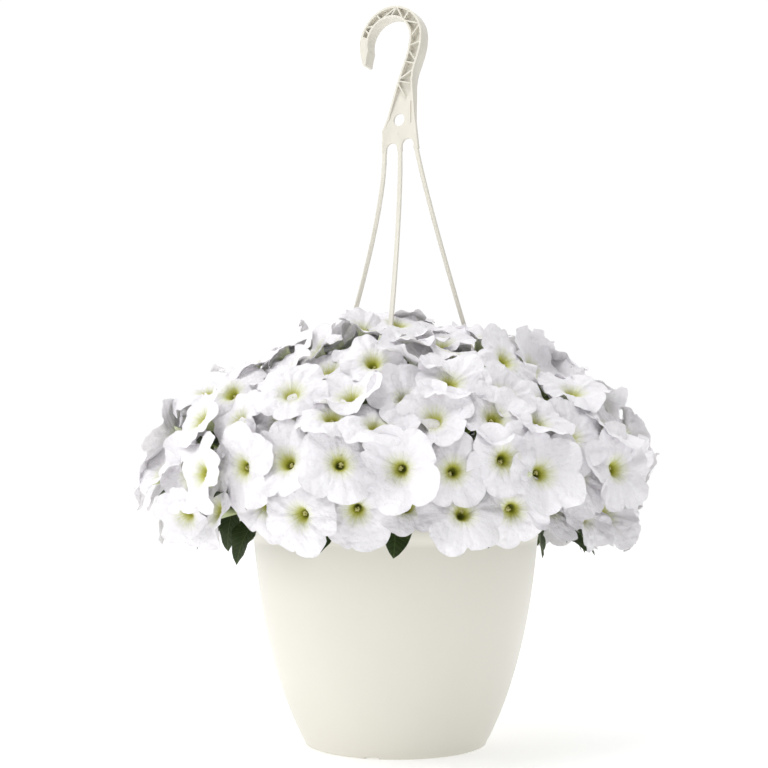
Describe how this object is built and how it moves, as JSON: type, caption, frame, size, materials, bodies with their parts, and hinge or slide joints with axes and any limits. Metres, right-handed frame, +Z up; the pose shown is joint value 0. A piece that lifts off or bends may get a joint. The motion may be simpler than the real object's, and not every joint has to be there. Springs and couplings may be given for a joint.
{
  "type": "white trailing petunia in hanging basket",
  "caption": "Mound of white trailing petunias in an ivory round pot, hung from a three-strand hanger with a ribbed hook.",
  "frame": {"origin": "centre of the pot's underside, on the plane the pot stands on", "axes": "+Z up through the pot, the mound and the hook; -Y is the front, with one strand clipped near it; +X to the right"},
  "size_m": [0.4409, 0.4385, 0.6714],
  "materials": {
    "pot_plastic": "satin ivory, smooth moulded",
    "hanger_plastic": "satin ivory, moulded",
    "potting_mix": "moist peat and bark crumb",
    "crown_wood": "rough green-brown bark and matted roots",
    "stem": "downy green stem",
    "leaf": "matt downy dark green leaf",
    "petal": "soft matt white petal"
  },
  "bodies": {
    "root": {"pot": "pot_plastic", "potting_mix": "potting_mix", "hanger_hook": "hanger_plastic", "hanger_strand_right": "hanger_plastic", "hanger_strand_left": "hanger_plastic", "hanger_strand_front": "hanger_plastic", "plant_a_crown": "crown_wood", "plant_b_crown": "crown_wood", "plant_c_crown": "crown_wood", "plant_a_buds": "petal", "plant_b_buds": "petal", "plant_c_buds": "petal", "branch_a1_stem": "stem", "branch_a2_stem": "stem", "branch_a3_stem": "stem", "branch_a4_stem": "stem", "branch_a5_stem": "stem", "branch_b1_stem": "stem", "branch_b2_stem": "stem", "branch_b3_stem": "stem", "branch_b4_stem": "stem", "branch_b5_stem": "stem", "branch_c1_stem": "stem", "branch_c2_stem": "stem", "branch_c3_stem": "stem", "branch_c4_stem": "stem", "branch_c5_stem": "stem", "branch_a1_leaves": "leaf", "branch_a2_leaves": "leaf", "branch_a3_leaves": "leaf", "branch_a4_leaves": "leaf", "branch_a5_leaves": "leaf", "branch_b1_leaves": "leaf", "branch_b2_leaves": "leaf", "branch_b3_leaves": "leaf", "branch_b4_leaves": "leaf", "branch_b5_leaves": "leaf", "branch_c1_leaves": "leaf", "branch_c2_leaves": "leaf", "branch_c3_leaves": "leaf", "branch_c4_leaves": "leaf", "branch_c5_leaves": "leaf", "branch_a1_blooms": "petal", "branch_a2_blooms": "petal", "branch_a3_blooms": "petal", "branch_a4_blooms": "petal", "branch_a5_blooms": "petal", "branch_b1_blooms": "petal", "branch_b2_blooms": "petal", "branch_b3_blooms": "petal", "branch_b4_blooms": "petal", "branch_b5_blooms": "petal", "branch_c1_blooms": "petal", "branch_c2_blooms": "petal", "branch_c3_blooms": "petal", "branch_c4_blooms": "petal", "branch_c5_blooms": "petal"}
  },
  "joints": []
}
